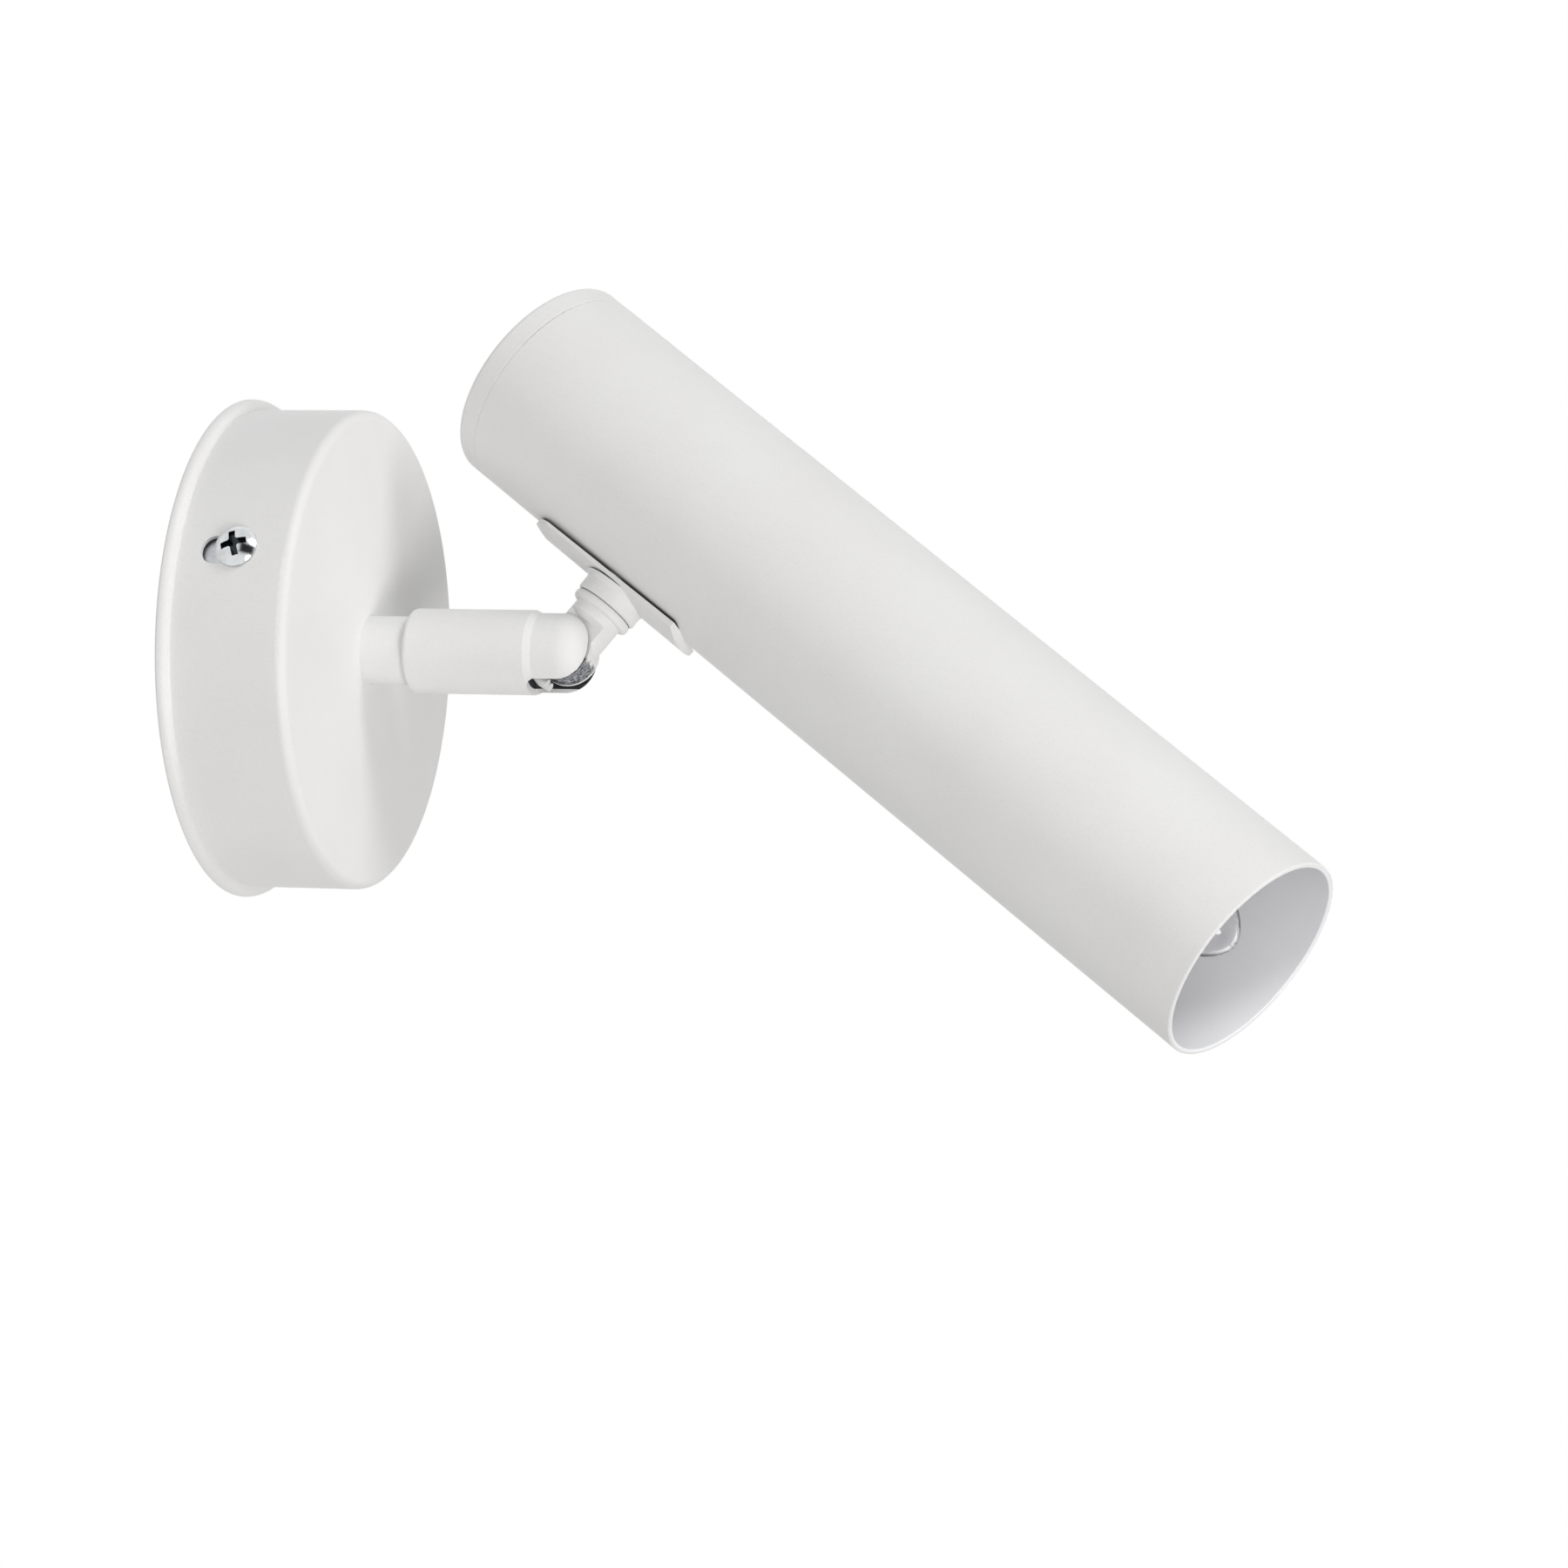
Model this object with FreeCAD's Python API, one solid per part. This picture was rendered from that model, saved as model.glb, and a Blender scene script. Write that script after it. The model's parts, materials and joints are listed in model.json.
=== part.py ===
# Pivoting spotlight wall light, built as separate pieces in millimetres.
# Origin: centre of the wall plane on the canopy's axis. +X points out of the wall, +Z is up.
# The head is modelled in its own axes, with the tilt pivot at the origin, X along the lamp tube
# towards its mouth and Z from the pivot up to the tube's axis, and is then tilted and moved into place.
import FreeCAD, Part
import math
import os

V = FreeCAD.Vector

# Fits
running_gap = 0.05        # radial play of a turning fit
free_gap = 0.3            # play where two pieces only have to pass each other
face_gap = 0.15           # axial play between faces that turn against each other
hole_play = 0.1           # radial play of a plain hole round a thread
seam_chamfer = 0.2
thread_radius = 5.0       # the M10 thread of the spindle, the stem and the holder's nipple

# Canopy
canopy_radius = 47.5
canopy_depth = 25.8
canopy_wall = 1.0
canopy_front_round = 1.9
lip_width = 2.4           # rolled lip at the wall end
lip_height = 2.1
lip_rear_round = 0.5
lip_front_round = 1.8

# Side screws that hold the canopy on its strap
side_screw_x = 14.2
side_screw_rise = 0.6     # the screws sit towards the top of the canopy's slots
side_screw_radius = 2.0
side_screw_length = 8.0
side_head_radius = 4.2
side_head_height = 2.4
side_head_rim = 0.6       # straight part of the domed head
side_cross_turn = 17.0
slot_run = 7.2            # from a side screw's axis back to the end of the canopy's slot
slot_half_width = 2.9

# Cross recesses and driver slots shared by the screws
cross_arm_share = 0.62    # arm length over head radius
cross_width_share = 0.31
cross_depth_share = 0.62
cross_corner_share = 0.1
driver_slot_width = 0.8

# Mounting strap
strap_thickness = 1.5
strap_half_width = 10.0
strap_tab_half_width = 6.0
strap_tab_margin = 4.1    # tab beyond the side screw's axis
strap_wing_half_width = 15.0
strap_wing_inset = 10.5   # wing's end from the canopy's inner wall
strap_bend_round = 1.2
cable_hole_radius = 6.5
wall_slot_centre = 27.0
wall_slot_length = 12.0
wall_slot_half_width = 2.3

# Terminal block
block_half_length = 13.5
block_wing_border = 2.5   # strap wing left free beyond the block
block_width = 17.0
block_height = 14.0
block_edge_round = 1.0
pole_pitch = 9.0
pole_count = 3
pole_height = 5.0         # axis of the brass inserts above the strap
insert_radius = 2.3
insert_bore = 1.4
insert_length = 13.0
clamp_screw_radius = 1.4
clamp_screw_spread = 3.6
clamp_screw_recess = 2.5
block_screw_radius = 1.3
block_screw_head_radius = 2.0
block_screw_head_height = 1.4
block_screw_sink = 8.0

# Earth screw
earth_y = 15.5
earth_screw_radius = 2.0
earth_head_radius = 3.6
earth_head_height = 2.3
earth_head_rim = 0.7
earth_washer_radius = 4.6
earth_washer_thickness = 0.9

# Swivel: collar, hollow spindle, bush and friction pieces
spindle_bore = 3.1
spindle_tail = 8.5        # how far the spindle reaches into the canopy, from its front face
collar_radius = 6.8
collar_length = 9.05
star_washer_radius = 8.5
star_washer_thickness = 1.0
star_tooth_count = 12
star_tooth_depth = 1.4
star_tooth_gap = 0.7
thin_nut_flats = 14.0
thin_nut_height = 3.0
bush_length = 5.0
swivel_play = 0.5         # radial play of the spindle's head and the washers in the sleeve
swivel_washer_thickness = 0.8
swivel_spring_height = 1.4
swivel_spring_thickness = 0.7
spindle_head_height = 3.0
stop_pin_radius = 0.5
stop_pin_seat = 2.4
stop_pin_reach = 1.2
stop_groove_play = 0.15
stop_web_angle = 20.0     # width of the web that the pin meets

# Knuckle sleeve
sleeve_radius = 8.4
sleeve_rear_round = 1.1
sleeve_rear_wall = 1.2    # round the bush
sleeve_body_length = 25.3  # rear face to the step where the slot ends
cheek_drop = 0.55         # how much smaller the cheeks' radius is
cheek_step_length = 1.5
cheek_length = 12.1       # step to nose
cheek_gap = 7.0
slot_end_round = 1.5
sleeve_nose_round = 6.0
sleeve_wire_bore = 4.8

# Tilt joint
pivot_setback = 5.6       # nose back to the pivot's axis
rest_tilt = 37.1          # the lamp tube's slope below the horizontal, as photographed
eye_radius = 5.8
pivot_washer_radius = 4.6
pivot_washer_thickness = 0.5
pivot_screw_radius = 2.0
pivot_blind_wall = 1.65   # near cheek left beyond the screw's end
pivot_head_wall = 1.4     # far cheek under the screw's head
pivot_head_radius = 3.2
pivot_head_height = 1.9
pivot_socket_flats = 2.5
pivot_socket_depth = 1.2

# Eye stem
stem_lean = 4.0           # how far the stem leans back from square to the lamp tube
shoulder_sink = 0.95      # how far the shoulder starts below the cheeks' top
shoulder_rise = 1.1
stem_neck_length = 1.8
stem_neck_radius = 5.2
stem_flange_thickness = 2.0
stem_flange_radius = 6.45
stem_flange_round = 0.85
stem_bore = 2.2
stem_side_hole = 1.9
stem_thread_spare = 0.8

# Lamp tube and rear cap
tube_radius = 22.0
tube_wall = 1.1
tube_mouth = 151.0        # from the stem's axis to the mouth
tube_rear = 47.6          # from the stem's axis to the outside of the rear cap
tube_edge_round = 0.35
cap_thickness = 4.7
cap_edge_round = 1.0
cap_spigot_length = 7.0
cap_spigot_wall = 1.6
cap_face_wall = 2.2

# Saddle
saddle_half_straight = 18.0
saddle_half_width = 7.0
saddle_shift = -1.5       # the plate's middle from the stem's axis
saddle_front_bulge = 0.8
saddle_rear_bulge = 4.6
saddle_front_taper = 0.8  # length over which the underside rises to each end
saddle_rear_taper = 2.0
saddle_front_edge = 1.2   # thickness left at the tips
saddle_rear_edge = 0.35
saddle_thickness = 1.85   # under the middle of the tube
saddle_outer_wider = 0.3  # how much larger than the tube's radius its outer face curves
saddle_inner_wider = 300.0  # and its almost flat inner face
saddle_seat_bite = 0.1    # how far the inner face is set into the tube before it is trimmed
saddle_seat_slope = 0.9   # the seat rises forwards by this angle, so the gap beside it narrows
saddle_neck_length = 3.2
saddle_neck_radius = 6.7
saddle_neck_chamfer = 0.35
saddle_flare_radius = 7.5
saddle_flare_length = 0.8

# Fastening inside the tube
shaped_washer_radius = 8.0
shaped_washer_thickness = 2.0
bracket_thickness = 1.5
bracket_half_width = 7.0
bracket_tail = 8.5
bracket_top_margin = 9.0
bracket_bend_round = 1.2
nipple_tail = 5.0
nipple_reach = 6.0
nipple_bore = 3.5

# Lampholder, small Edison thread
holder_length = 40.0
holder_radius = 14.0
holder_rear_radius = 12.8
holder_rear_taper = 3.0
holder_front_radius = 13.1
holder_front_length = 11.0
holder_floor = 10.0
holder_edge_round = 0.8
holder_thread_radius = 7.8
holder_thread_wall = 0.5
holder_thread_length = 20.0
holder_thread_inset = 1.0
holder_screw_radius = 1.5
holder_screw_head_radius = 2.4
holder_screw_head_height = 2.0
holder_screw_depth = 5.0
holder_screw_spread = 10.3
contact_height = 7.4      # holder's floor to the bulb's contact
contact_width = 4.0
contact_thickness = 0.4
contact_foot = 9.0

# Candle bulb
bulb_tip_inset = 4.6      # from the mouth's plane to the glass tip
bulb_length = 98.0
bulb_contact_height = 1.0
bulb_contact_radius = 2.6
bulb_insulator_height = 2.2
bulb_insulator_radius = 5.0
bulb_cap_length = 22.5
bulb_cap_shoulder = 1.0
bulb_cap_radius = 6.95
bulb_cap_core = 6.4
bulb_thread_pitch = 2.82
bulb_thread_turns = 6
bulb_glass_radius = 17.5
bulb_neck_radius = 6.6
bulb_neck_insert = 2.0
bulb_glass_wall = 0.8
bulb_mount_radius = 3.2
bulb_mount_length = 24.0
filament_wire = 0.3
filament_half_span = 3.5
filament_rise = 14.0
filament_bow = 3.5
lead_inset = 0.8
lead_spread = 2.0
# The glass outline as shares of its length. Towards the cap the second value is a share of the
# swell from the neck to the widest radius, and towards the tip a share of the widest radius.
glass_rear = [(0.0, 0.0), (0.04, 0.0), (0.10, 0.18), (0.17, 0.5), (0.26, 0.81), (0.40, 1.0)]
glass_front = [(0.57, 0.93), (0.73, 0.73), (0.865, 0.51), (0.945, 0.32), (0.985, 0.162), (0.9965, 0.078)]
glass_tip_fade = 12.0     # over the last twelfth the wall is measured along the axis instead

# Wires
wire_radius = 0.85
wire_half_pitch = 0.95
wire_tuck = 1.0           # wire hidden past the end of a bore
wire_clamp_depth = 2.0    # wire inside a brass insert
# Bends as places relative to the pieces named in make_canopy_wires and make_sleeve_wires.
canopy_wire_back = 8.0
canopy_wire_lift = 1.5
canopy_wire_turn = 10.0
canopy_wire_rise = 5.5
sleeve_wire_lead = 5.0
sleeve_wire_dip = 0.4
sleeve_wire_near = (3.5, 2.4)
sleeve_wire_exit = (0.3, 2.75)
sleeve_wire_drop = (1.1, 5.6)
sleeve_wire_end = 2.6
# Bends of the head's wires: share of the way to the holder, sideways and below the tube's axis.
head_wire_bends = [(0.02, 3.0, 7.6), (0.28, 7.5, 3.0), (0.65, 10.3, 0.0)]

# Values that follow from the ones above.
canopy_inner_radius = canopy_radius - canopy_wall
canopy_inner_face = canopy_depth - canopy_wall
strap_tab_height = side_screw_x + strap_tab_margin
strap_wing_top = canopy_inner_radius - strap_wing_inset
block_bottom = strap_wing_top - block_wing_border - block_width
block_top = strap_thickness + block_height
block_middle = block_bottom + block_width / 2
pole_x = strap_thickness + pole_height
collar_front_x = canopy_depth + collar_length
sleeve_rear_x = collar_front_x + face_gap
bush_radius = sleeve_radius - sleeve_rear_wall
swivel_washer_radius = bush_radius - swivel_play
bush_end_x = sleeve_rear_x + bush_length
spring_start_x = bush_end_x + swivel_washer_thickness
head_washer_x = spring_start_x + swivel_spring_height + running_gap
spindle_head_x = head_washer_x + swivel_washer_thickness
spindle_end_x = spindle_head_x + spindle_head_height
spindle_rear_x = canopy_depth - spindle_tail
stop_pin_circle = (thread_radius + hole_play + collar_radius) / 2
cheek_radius = sleeve_radius - cheek_drop
cheek_step_x = sleeve_rear_x + sleeve_body_length
sleeve_nose_x = cheek_step_x + cheek_length
pivot_x = sleeve_nose_x - pivot_setback
head_tilt = FreeCAD.Placement(V(pivot_x, 0, 0), FreeCAD.Rotation(V(0, 1, 0), rest_tilt))
stem_turn = FreeCAD.Rotation(V(0, 1, 0), -stem_lean)
slot_half_gap = cheek_gap / 2
eye_half = slot_half_gap - pivot_washer_thickness - running_gap
pivot_head_seat = slot_half_gap + pivot_head_wall
pivot_screw_end = cheek_radius - pivot_blind_wall
shoulder_start = cheek_radius - shoulder_sink
shoulder_full = shoulder_start + shoulder_rise
shoulder_small_radius = slot_half_gap + hole_play
stem_flange_start = shoulder_full + stem_neck_length
stem_flange_end = stem_flange_start + stem_flange_thickness
saddle_bottom = stem_flange_end + saddle_neck_length
tube_bottom = saddle_bottom + saddle_thickness
tube_axis_height = tube_bottom + tube_radius
tube_inner_radius = tube_radius - tube_wall
tube_inner_bottom = tube_axis_height - tube_inner_radius
saddle_outer_radius = tube_radius + saddle_outer_wider
saddle_inner_radius = tube_radius + saddle_inner_wider
washer_top = tube_inner_bottom + shaped_washer_thickness
bracket_top_face = washer_top + bracket_thickness
stem_end = bracket_top_face + thin_nut_height + stem_thread_spare
bulb_tip_x = tube_mouth - bulb_tip_inset
bulb_base_x = bulb_tip_x - bulb_length
bulb_cap_x = bulb_base_x + bulb_contact_height + bulb_insulator_height
bulb_cap_end_x = bulb_cap_x + bulb_cap_length
bulb_glass_x = bulb_cap_end_x - bulb_neck_insert
holder_floor_x = bulb_base_x - contact_height
bracket_face = holder_floor_x - holder_floor
holder_end_x = bracket_face + holder_length


# Shape helpers
def tube_x(start, end, outer, inner=0.0, height=0.0):
    """A cylinder or tube along X between two stations, with its axis at a height."""
    base = V(start, 0, height)
    solid = Part.makeCylinder(outer, end - start, base, V(1, 0, 0))
    if inner > 0:
        solid = solid.cut(Part.makeCylinder(inner, end - start, base, V(1, 0, 0)))
    return solid


def rod(start, end, radius):
    """A plain round bar between two points."""
    along = end - start
    return Part.makeCylinder(radius, along.Length, start, along)


def block(x, y, z):
    """A box from three (low, high) pairs."""
    return Part.makeBox(x[1] - x[0], y[1] - y[0], z[1] - z[0], V(x[0], y[0], z[0]))


def turned(outline, height=0.0):
    """A solid turned about an axis along X, from (station, radius) points."""
    points = [V(x, 0, height + r) for x, r in outline]
    face = Part.Face(Part.makePolygon(points + [points[0]]))
    return face.revolve(V(0, 0, height), V(1, 0, 0), 360)


def prism(points, along):
    """A closed outline of points pushed along a vector."""
    return Part.Face(Part.makePolygon(points + [points[0]])).extrude(along)


def rounded(solid, radius, places):
    """Fillets the edges whose middles lie nearest to the given places."""
    picked = []
    for place in places:
        nearest = min(solid.Edges, key=lambda edge: (edge.CenterOfMass - place).Length)
        picked.append(nearest)
    return solid.makeFillet(radius, picked)


def rounded_rings(solid, radius, rings, height=0.0):
    """Fillets full circular edges about an X axis, given as (station, radius) pairs."""
    picked = []
    for station, ring_radius in rings:
        for edge in solid.Edges:
            if not isinstance(edge.Curve, Part.Circle):
                continue
            centre = edge.Curve.Center
            off = abs(centre.x - station) + abs(centre.z - height) + abs(centre.y)
            if off < 1e-4 and abs(edge.Curve.Radius - ring_radius) < 1e-4:
                picked.append(edge)
    return solid.makeFillet(radius, picked)


def hexagon(across_flats, start, end, bore, height=0.0):
    """A hexagon nut along X with a plain bore."""
    corner = across_flats / math.sqrt(3)
    angles = [math.radians(60 * k) for k in range(6)]
    points = [V(start, corner * math.cos(a), height + corner * math.sin(a)) for a in angles]
    nut = prism(points, V(end - start, 0, 0))
    chamfer = corner - across_flats / 2
    barrel = turned([(start, 0), (start, across_flats / 2), (start + chamfer, corner),
                     (end - chamfer, corner), (end, across_flats / 2), (end, 0)], height)
    return nut.common(barrel).cut(tube_x(start, end, bore, 0, height))


def cross_recess(radius, height, turn):
    """The cutter for a cross recess in a head whose top is at X = 0, opening towards +X."""
    arm = radius * cross_arm_share
    half = radius * cross_width_share / 2
    depth = height * cross_depth_share
    bar = block((-depth, depth), (-arm, arm), (-half, half))
    other = bar.copy()
    other.rotate(V(0, 0, 0), V(1, 0, 0), 90)
    corners = [V(0, y, z) for y in (-half, half) for z in (-half, half)]
    cutter = rounded(bar.fuse(other).removeSplitter(), radius * cross_corner_share, corners)
    cutter.rotate(V(0, 0, 0), V(1, 0, 0), turn)
    return cutter


def pan_screw(shaft, length, head, height, rim, turn):
    """A cross-recessed screw along X with a domed head: seat at X = 0, head towards +X."""
    crown = height - rim
    dome_radius = (head ** 2 + crown ** 2) / (2 * crown)
    cap = tube_x(0, height, head).common(Part.makeSphere(dome_radius, V(height - dome_radius, 0, 0)))
    recess = cross_recess(head, height, turn)
    recess.translate(V(height, 0, 0))
    return cap.cut(recess).fuse(tube_x(-length, 0, shaft))


def slotted_screw(shaft, length, head, height):
    """A slotted cylinder head screw along X: seat at X = 0, head towards +X."""
    cap = tube_x(0, height, head)
    half = driver_slot_width / 2
    slot = block((height / 2, height), (-head, head), (-half, half))
    return cap.cut(slot).fuse(tube_x(-length, 0, shaft))


def placed(solid, origin, axis):
    """Moves a piece made along +X so that its X axis points along the given axis."""
    moved = solid.copy()
    moved.Placement = FreeCAD.Placement(origin, FreeCAD.Rotation(V(1, 0, 0), axis))
    return moved


def wire_run(points, radius):
    """A round wire along straight runs joined by tangent arcs."""
    edges = []
    start = points[0]
    for before, corner, after in zip(points, points[1:], points[2:]):
        back = before - corner
        ahead = after - corner
        half_turn = (math.pi - back.getAngle(ahead)) / 2
        trim = 0.45 * min(back.Length, ahead.Length)
        bend = trim / math.tan(half_turn)
        first = corner + back.normalize() * trim
        last = corner + ahead.normalize() * trim
        inward = (back + ahead).normalize()
        middle = corner + inward * (bend / math.cos(half_turn) - bend)
        edges.append(Part.LineSegment(start, first).toShape())
        edges.append(Part.Arc(first, middle, last).toShape())
        start = last
    edges.append(Part.LineSegment(start, points[-1]).toShape())
    circle = Part.Circle(points[0], points[1] - points[0], radius).toShape()
    return Part.Wire(edges).makePipeShell([Part.Wire([circle])], True, False)


def leaned(solid):
    """Turns a piece made about the stem's own axis into the head's axes."""
    moved = solid.copy()
    moved.rotate(V(0, 0, 0), V(0, 1, 0), -stem_lean)
    return moved


def stem_line(height, side=0.0):
    """The point at a height along the stem's axis, in the head's axes."""
    return stem_turn.multVec(V(0, side, height))


def on_head(solid):
    """Tilts a piece made in the head's own axes to the photographed pose."""
    moved = solid.copy()
    moved.Placement = head_tilt.multiply(moved.Placement)
    return moved


# Canopy and its strap
def make_canopy():
    shell = rounded_rings(tube_x(0, canopy_depth, canopy_radius), canopy_front_round,
                          [(canopy_depth, canopy_radius)])
    inner_round = canopy_front_round - canopy_wall
    hollow = rounded_rings(tube_x(0, canopy_inner_face, canopy_inner_radius), inner_round,
                           [(canopy_inner_face, canopy_inner_radius)])
    lip_outer = canopy_radius + lip_height
    lip = tube_x(0, lip_width, lip_outer)
    lip = rounded_rings(lip, lip_rear_round, [(0, lip_outer)])
    lip = rounded_rings(lip, lip_front_round, [(lip_width, lip_outer)])
    lip = lip.cut(tube_x(0, lip_width, canopy_inner_radius))
    shell = shell.cut(hollow).fuse(lip)
    shell = shell.cut(tube_x(0, canopy_depth, thread_radius + hole_play))
    for side in (-1, 1):
        shell = shell.cut(side_slot(side))
    return shell.removeSplitter()


def side_slot(side):
    inner_end = V(side_screw_x - slot_run + slot_half_width, 0, 0)
    outer_end = V(side_screw_x, 0, 0)
    across = V(0, side * 2 * canopy_radius, 0)
    ends = [rod(end, end + across, slot_half_width) for end in (inner_end, outer_end)]
    low = min(0, across.y)
    middle = block((inner_end.x, outer_end.x), (low, low + abs(across.y)),
                   (-slot_half_width, slot_half_width))
    return ends[0].fuse(ends[1]).fuse(middle)


def tab_outer_face():
    """How far out the strap's bent tabs stand, so that their edges clear the skirt."""
    reach = canopy_inner_radius - free_gap
    return math.sqrt(reach ** 2 - strap_tab_half_width ** 2)


def make_mounting_strap():
    outer = tab_outer_face()
    inner = outer - strap_thickness
    plate_end = math.sqrt((canopy_inner_radius - free_gap) ** 2 - strap_half_width ** 2)
    sheet = (0, strap_thickness)
    plate = block(sheet, (-inner, inner), (-strap_tab_half_width, strap_tab_half_width))
    wide_end = min(plate_end, inner)
    plate = plate.fuse(block(sheet, (-wide_end, wide_end), (-strap_half_width, strap_half_width)))
    wing = block(sheet, (-strap_wing_half_width, strap_wing_half_width), (0, strap_wing_top))
    strap = plate.fuse(wing)
    for side in (-1, 1):
        low = inner if side > 0 else -outer
        tab = block((0, strap_tab_height), (low, low + strap_thickness),
                    (-strap_tab_half_width, strap_tab_half_width))
        strap = strap.fuse(tab)
    strap = strap.removeSplitter()
    strap = rounded(strap, strap_bend_round, [V(0, -outer, 0), V(0, outer, 0)])
    for side in (-1, 1):
        far = V(side_screw_x, side * canopy_radius, side_screw_rise)
        strap = strap.cut(rod(V(side_screw_x, 0, side_screw_rise), far, side_screw_radius))
        strap = strap.cut(wall_slot(side))
    strap = strap.cut(tube_x(0, strap_thickness, cable_hole_radius))
    strap = strap.cut(rod(V(0, earth_y, 0), V(strap_thickness, earth_y, 0), earth_screw_radius))
    fixing = V(0, pole_pitch / 2, block_middle)
    strap = strap.cut(rod(fixing, fixing + V(strap_thickness, 0, 0), block_screw_radius))
    return strap


def wall_slot(side):
    half_run = wall_slot_length / 2 - wall_slot_half_width
    centre = side * wall_slot_centre
    cutter = block((0, strap_thickness), (centre - half_run, centre + half_run),
                   (-wall_slot_half_width, wall_slot_half_width))
    for end in (centre - half_run, centre + half_run):
        cutter = cutter.fuse(rod(V(0, end, 0), V(strap_thickness, end, 0), wall_slot_half_width))
    return cutter


def make_side_screws():
    screw = pan_screw(side_screw_radius, side_screw_length, side_head_radius, side_head_height,
                      side_head_rim, side_cross_turn)
    places = [V(side_screw_x, side * canopy_radius, side_screw_rise) for side in (-1, 1)]
    return [placed(screw, place, V(0, place.y, 0)) for place in places]


# Terminal block and earth
def pole_places():
    first = -pole_pitch * (pole_count - 1) / 2
    return [first + pole_pitch * k for k in range(pole_count)]


def clamp_places():
    return [(y, block_middle + side * clamp_screw_spread) for y in pole_places() for side in (-1, 1)]


def make_terminal_block():
    body = block((strap_thickness, block_top), (-block_half_length, block_half_length),
                 (block_bottom, block_bottom + block_width))
    top_edges = [V(block_top, side * block_half_length, block_middle) for side in (-1, 1)]
    body = rounded(body, block_edge_round, top_edges)
    block_end = block_bottom + block_width
    for y in pole_places():
        body = body.cut(rod(V(pole_x, y, block_bottom), V(pole_x, y, block_end), insert_radius))
    for y, z in clamp_places():
        body = body.cut(rod(V(pole_x, y, z), V(block_top, y, z), clamp_screw_radius))
    hole = V(0, pole_pitch / 2, block_middle)
    body = body.cut(rod(hole, hole + V(block_top, 0, 0), block_screw_radius))
    seat = hole + V(block_top - block_screw_sink, 0, 0)
    body = body.cut(rod(seat, hole + V(block_top, 0, 0), block_screw_head_radius + hole_play))
    return body


def make_terminal_inserts():
    inserts = []
    for y in pole_places():
        low = V(pole_x, y, block_middle - insert_length / 2)
        high = V(pole_x, y, block_middle + insert_length / 2)
        insert = rod(low, high, insert_radius).cut(rod(low, high, insert_bore))
        for side in (-1, 1):
            z = block_middle + side * clamp_screw_spread
            hole = rod(V(pole_x, y, z), V(pole_x + insert_radius, y, z), clamp_screw_radius)
            insert = insert.cut(hole)
        inserts.append(insert)
    return inserts


def make_terminal_screws():
    screws = []
    half = driver_slot_width / 2
    top = block_top - clamp_screw_recess
    for y, z in clamp_places():
        screw = rod(V(pole_x + insert_bore, y, z), V(top, y, z), clamp_screw_radius)
        slot = block((top - driver_slot_width, top), (y - clamp_screw_radius, y + clamp_screw_radius),
                     (z - half, z + half))
        screws.append(screw.cut(slot))
    return screws


def make_terminal_fixing_screw():
    seat = block_top - block_screw_sink
    screw = slotted_screw(block_screw_radius, seat, block_screw_head_radius, block_screw_head_height)
    return placed(screw, V(seat, pole_pitch / 2, block_middle), V(1, 0, 0))


def make_earth_screw():
    seat = strap_thickness + earth_washer_thickness
    screw = pan_screw(earth_screw_radius, seat, earth_head_radius, earth_head_height, earth_head_rim, 0)
    return placed(screw, V(seat, earth_y, 0), V(1, 0, 0))


def make_earth_washer():
    washer = tube_x(strap_thickness, strap_thickness + earth_washer_thickness, earth_washer_radius,
                    earth_screw_radius)
    washer.translate(V(0, earth_y, 0))
    return washer


# Swivel
def make_neck_collar():
    collar = tube_x(canopy_depth, collar_front_x, collar_radius, thread_radius + hole_play)
    collar = rounded_rings(collar, seam_chamfer, [(collar_front_x, collar_radius)])
    return collar.cut(stop_pin(collar_front_x - stop_pin_seat, collar_front_x))


def stop_pin(start, end):
    return tube_x(start, end, stop_pin_radius, 0, -stop_pin_circle)


def make_stop_pin():
    return stop_pin(collar_front_x - stop_pin_seat, sleeve_rear_x + stop_pin_reach)


def make_swivel_spindle():
    spindle = tube_x(spindle_rear_x, spindle_head_x, thread_radius)
    spindle = spindle.fuse(tube_x(spindle_head_x, spindle_end_x, swivel_washer_radius))
    return spindle.cut(tube_x(spindle_rear_x, spindle_end_x, spindle_bore)).removeSplitter()


def make_star_washer():
    start = canopy_inner_face - star_washer_thickness
    washer = tube_x(start, canopy_inner_face, star_washer_radius, thread_radius + hole_play)
    half = star_tooth_gap / 2
    root = star_washer_radius - star_tooth_depth
    for k in range(star_tooth_count):
        notch = block((start, canopy_inner_face), (root, star_washer_radius), (-half, half))
        notch.rotate(V(0, 0, 0), V(1, 0, 0), 360 * k / star_tooth_count)
        washer = washer.cut(notch)
    return washer


def make_canopy_nut():
    end = canopy_inner_face - star_washer_thickness
    return hexagon(thin_nut_flats, end - thin_nut_height, end, thread_radius)


def make_head_washer():
    return tube_x(head_washer_x, spindle_head_x, swivel_washer_radius, thread_radius)


def make_retaining_bush():
    bush = tube_x(sleeve_rear_x, bush_end_x, bush_radius, thread_radius + running_gap)
    half_width = stop_pin_radius + stop_groove_play
    depth = stop_pin_reach + free_gap
    groove = tube_x(sleeve_rear_x, sleeve_rear_x + depth, stop_pin_circle + half_width,
                    stop_pin_circle - half_width)
    half_web = math.radians(stop_web_angle / 2)
    reach = 2 * bush_radius
    side = reach * math.tan(half_web)
    web = prism([V(sleeve_rear_x, 0, 0), V(sleeve_rear_x, -side, reach), V(sleeve_rear_x, side, reach)],
                V(depth, 0, 0))
    return bush.cut(groove.cut(web))


def make_swivel_washer():
    return tube_x(bush_end_x, spring_start_x, swivel_washer_radius, thread_radius + hole_play)


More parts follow.
